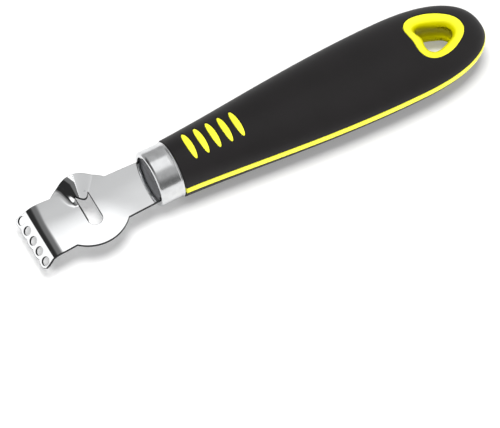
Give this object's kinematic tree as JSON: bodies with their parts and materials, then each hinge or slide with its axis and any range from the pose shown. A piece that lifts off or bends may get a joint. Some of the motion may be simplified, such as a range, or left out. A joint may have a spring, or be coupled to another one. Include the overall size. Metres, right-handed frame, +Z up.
{
  "type": "citrus zester with channel knife",
  "caption": "Hand-held citrus zester: bent steel tip with a row of sharpened holes, raised channel knife over a slot, steel ferrule and soft-grip handle with a hanging hole.",
  "frame": {"origin": "middle of the footprint, on the table that the handle's lowest line touches", "axes": "+X along the tool from the zesting tip towards the butt, +Y towards the side with the channel knife, +Z up, away from the side that the tip bends to"},
  "size_m": [0.1644, 0.0312, 0.0188],
  "materials": {
    "polished_steel": "mirror-polished stainless steel sheet",
    "satin_steel": "satin drawn stainless steel",
    "dark_plastic": "moulded, matt",
    "yellow_green_plastic": "moulded, satin gloss",
    "black_soft_grip": "soft-touch overmould, matt"
  },
  "bodies": {
    "root": {"blade": "polished_steel", "ferrule": "satin_steel", "tang_plug": "dark_plastic", "core": "yellow_green_plastic", "grip_top": "black_soft_grip", "grip_bottom": "black_soft_grip"}
  },
  "joints": []
}
